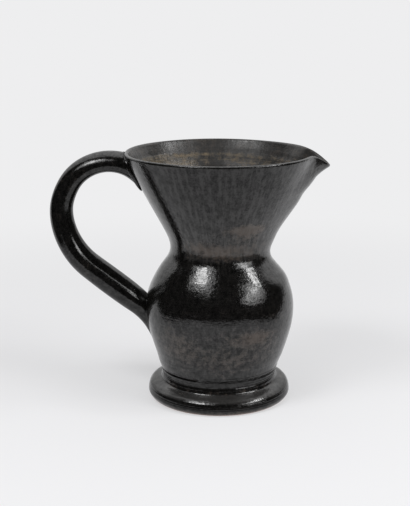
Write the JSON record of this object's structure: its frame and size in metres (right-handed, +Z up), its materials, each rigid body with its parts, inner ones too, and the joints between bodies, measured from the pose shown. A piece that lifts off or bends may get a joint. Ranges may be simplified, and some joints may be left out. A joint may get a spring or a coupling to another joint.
{
  "type": "oinochoe jug",
  "caption": "Black-glazed pottery pouring jug with a rounded belly, flaring neck, pinched spout, looped handle and turned foot.",
  "frame": {"origin": "on the wheel's axis of the jug, in the plane that the foot stands on", "axes": "+Z up along the wheel's axis, +X towards the pouring spout, the handle towards -X, +Y to the far side"},
  "size_m": [0.2323, 0.1576, 0.2105],
  "materials": {
    "black_glaze": "near-black satin to gloss glaze over red-brown earthenware",
    "luting_clay": "smoothed joining clay under the same near-black glaze",
    "joint_slip": "fired red-brown slip"
  },
  "bodies": {
    "root": {"foot_ring": "black_glaze", "foot_slip_joint": "joint_slip", "belly_bowl": "black_glaze", "waist_slip_joint": "joint_slip", "neck_funnel": "black_glaze", "handle_coil": "black_glaze", "upper_luting": "luting_clay", "lower_luting": "luting_clay"}
  },
  "joints": []
}
